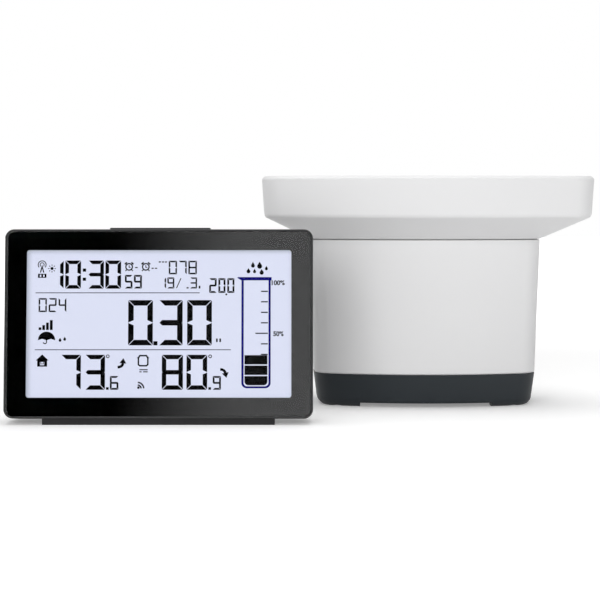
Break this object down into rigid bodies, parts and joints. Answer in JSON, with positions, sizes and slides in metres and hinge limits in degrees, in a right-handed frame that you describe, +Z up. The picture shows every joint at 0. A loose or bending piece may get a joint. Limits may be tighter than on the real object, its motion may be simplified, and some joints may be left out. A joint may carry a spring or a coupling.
{
  "type": "rain gauge",
  "caption": "Wireless rain gauge set: a self-emptying tipping-bucket collector with a wide rectangular rim, and an indoor display on a flip-out stand.",
  "frame": {"origin": "midpoint of the collector's two mounting holes, on the ground plane under its feet", "axes": "+Z up, +X to the right as seen from the front along the row of mounting holes, +Y from the front to the back"},
  "size_m": [0.257, 0.154, 0.105],
  "materials": {
    "white_plastic": "fine moulded satin, slightly glossy",
    "body_white": "fine moulded satin",
    "slate_plastic": "fine moulded satin, dark slate",
    "bucket_plastic": "smooth",
    "grey_plastic": "moulded",
    "steel": "turned",
    "spring_metal": "plated",
    "magnet": "nickel",
    "rubber": "matt",
    "cell_jacket": "printed sleeve, plain",
    "wire_red": "insulated wire",
    "board_green": "solder mask",
    "chip_black": "moulded resin",
    "reed_glass": "clear tube",
    "copper": "bare wire",
    "case_black": "fine spark texture",
    "lens_clear": "clear, glossy",
    "mask_black": "gloss black print",
    "lcd_glass": "lit screen",
    "guide_white": "light guide",
    "switch_grey": "moulded",
    "key_grey": "soft touch",
    "contact_rubber": "layered rubber"
  },
  "bodies": {
    "collector": {"base_tray": "slate_plastic", "body_shell": "body_white", "shell_screws": "steel", "sensor_cells": "cell_jacket", "sensor_contacts": "spring_metal", "battery_leads": "wire_red", "battery_gasket": "rubber", "battery_cover": "slate_plastic", "cover_screws": "steel", "bucket_cradle": "bucket_plastic", "cradle_screws": "steel", "stop_pads": "rubber", "drain_screens": "grey_plastic", "board_case": "bucket_plastic", "board_lid": "bucket_plastic", "board_seal": "rubber", "lid_screws": "steel", "switch_board": "board_green", "reed_switch": "reed_glass", "board_parts": "chip_black", "aerial": "copper", "temperature_probe": "chip_black"},
    "funnel": {"funnel": "white_plastic"},
    "strainer": {"strainer": "grey_plastic"},
    "bucket": {"tipping_bucket": "bucket_plastic", "bucket_axle": "steel", "bucket_magnet": "magnet"},
    "display": {"front_frame": "case_black", "front_lens": "lens_clear", "lens_mask": "mask_black", "lcd_panel": "lcd_glass", "backlight_guide": "guide_white", "contact_strips": "contact_rubber", "display_board": "board_green", "display_chips": "chip_black", "key_switches": "switch_grey", "buzzer": "chip_black", "display_aerial": "copper", "room_probe": "chip_black", "rear_housing": "case_black", "case_screws": "steel", "display_cells": "cell_jacket", "display_contacts": "spring_metal", "foot_strip": "rubber", "hinge_pins": "steel"},
    "press_bar": {"press_bar": "case_black"},
    "battery_door": {"battery_door": "case_black"},
    "desk_stand": {"desk_stand": "case_black", "stand_pads": "rubber"},
    "key_1": {"rear_key_1": "key_grey"},
    "key_2": {"rear_key_2": "key_grey"},
    "key_3": {"rear_key_3": "key_grey"},
    "key_4": {"rear_key_4": "key_grey"},
    "key_5": {"rear_key_5": "key_grey"},
    "key_6": {"rear_key_6": "key_grey"}
  },
  "joints": [
    {"name": "funnel_lift", "type": "slide", "parent": "collector", "child": "funnel", "axis": [0, 0, 1], "range_m": [0, 0.12]},
    {"name": "strainer_lift", "type": "slide", "parent": "funnel", "child": "strainer", "axis": [0, 0, 1], "range_m": [0, 0.05]},
    {"name": "bucket_tip", "type": "hinge", "parent": "collector", "child": "bucket", "pos_m": [0, 0, 0.033], "axis": [0, -1, 0], "range_deg": [0, 44]},
    {"name": "display_place", "type": "slide", "parent": "collector", "child": "display", "axis": [-1, 0, 0], "range_m": [0, 0.15]},
    {"name": "bar_press", "type": "slide", "parent": "display", "child": "press_bar", "axis": [0, -0.1219, -0.9925], "range_m": [0, 0.0006], "stiffness_N_per_m": 1500, "springref_m": -0.0002},
    {"name": "door_slide", "type": "slide", "parent": "display", "child": "battery_door", "axis": [0, 0.1219, 0.9925], "range_m": [0, 0.035]},
    {"name": "stand_fold", "type": "hinge", "parent": "display", "child": "desk_stand", "pos_m": [-0.117, -0.07062, 0.0026], "axis": [1, 0, 0], "range_deg": [0, 83]},
    {"name": "key_1_press", "type": "slide", "parent": "display", "child": "key_1", "axis": [0, -0.9925, 0.1219], "range_m": [0, 0.0008], "stiffness_N_per_m": 800, "springref_m": -0.0002},
    {"name": "key_2_press", "type": "slide", "parent": "display", "child": "key_2", "axis": [0, -0.9925, 0.1219], "range_m": [0, 0.0008], "stiffness_N_per_m": 800, "springref_m": -0.0002},
    {"name": "key_3_press", "type": "slide", "parent": "display", "child": "key_3", "axis": [0, -0.9925, 0.1219], "range_m": [0, 0.0008], "stiffness_N_per_m": 800, "springref_m": -0.0002},
    {"name": "key_4_press", "type": "slide", "parent": "display", "child": "key_4", "axis": [0, -0.9925, 0.1219], "range_m": [0, 0.0008], "stiffness_N_per_m": 800, "springref_m": -0.0002},
    {"name": "key_5_press", "type": "slide", "parent": "display", "child": "key_5", "axis": [0, -0.9925, 0.1219], "range_m": [0, 0.0008], "stiffness_N_per_m": 800, "springref_m": -0.0002},
    {"name": "key_6_press", "type": "slide", "parent": "display", "child": "key_6", "axis": [0, -0.9925, 0.1219], "range_m": [0, 0.0008], "stiffness_N_per_m": 800, "springref_m": -0.0002}
  ]
}
